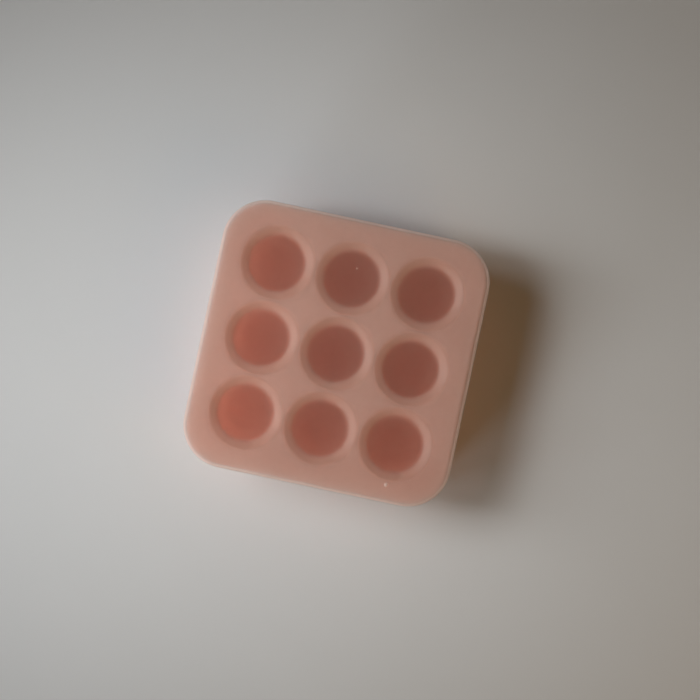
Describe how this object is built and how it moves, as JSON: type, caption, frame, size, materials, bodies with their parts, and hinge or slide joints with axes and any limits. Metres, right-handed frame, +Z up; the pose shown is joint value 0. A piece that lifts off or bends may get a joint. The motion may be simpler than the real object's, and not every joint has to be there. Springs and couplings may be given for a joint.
{
  "type": "baby food freezer tray",
  "caption": "Square silicone freezer tray for baby food with a grid of round portion wells, closed by a flexible silicone lid with a dished recess over each well",
  "frame": {"origin": "middle of the underside, on the surface the tray stands on", "axes": "+Z up out of the lid; X and Y along the sides of the square, with the small moulding nub on the lid towards -Y and +X"},
  "size_m": [0.16, 0.16, 0.0486],
  "materials": {
    "tray_silicone": "satin moulded silicone, slightly translucent dusty pink",
    "lid_silicone": "satin moulded silicone, translucent dusty pink"
  },
  "bodies": {
    "tray": {"tray": "tray_silicone"},
    "lid": {"lid": "lid_silicone"}
  },
  "joints": [
    {"name": "lid_lift", "type": "slide", "parent": "tray", "child": "lid", "axis": [0, 0, 1], "range_m": [0, 0.08]}
  ]
}
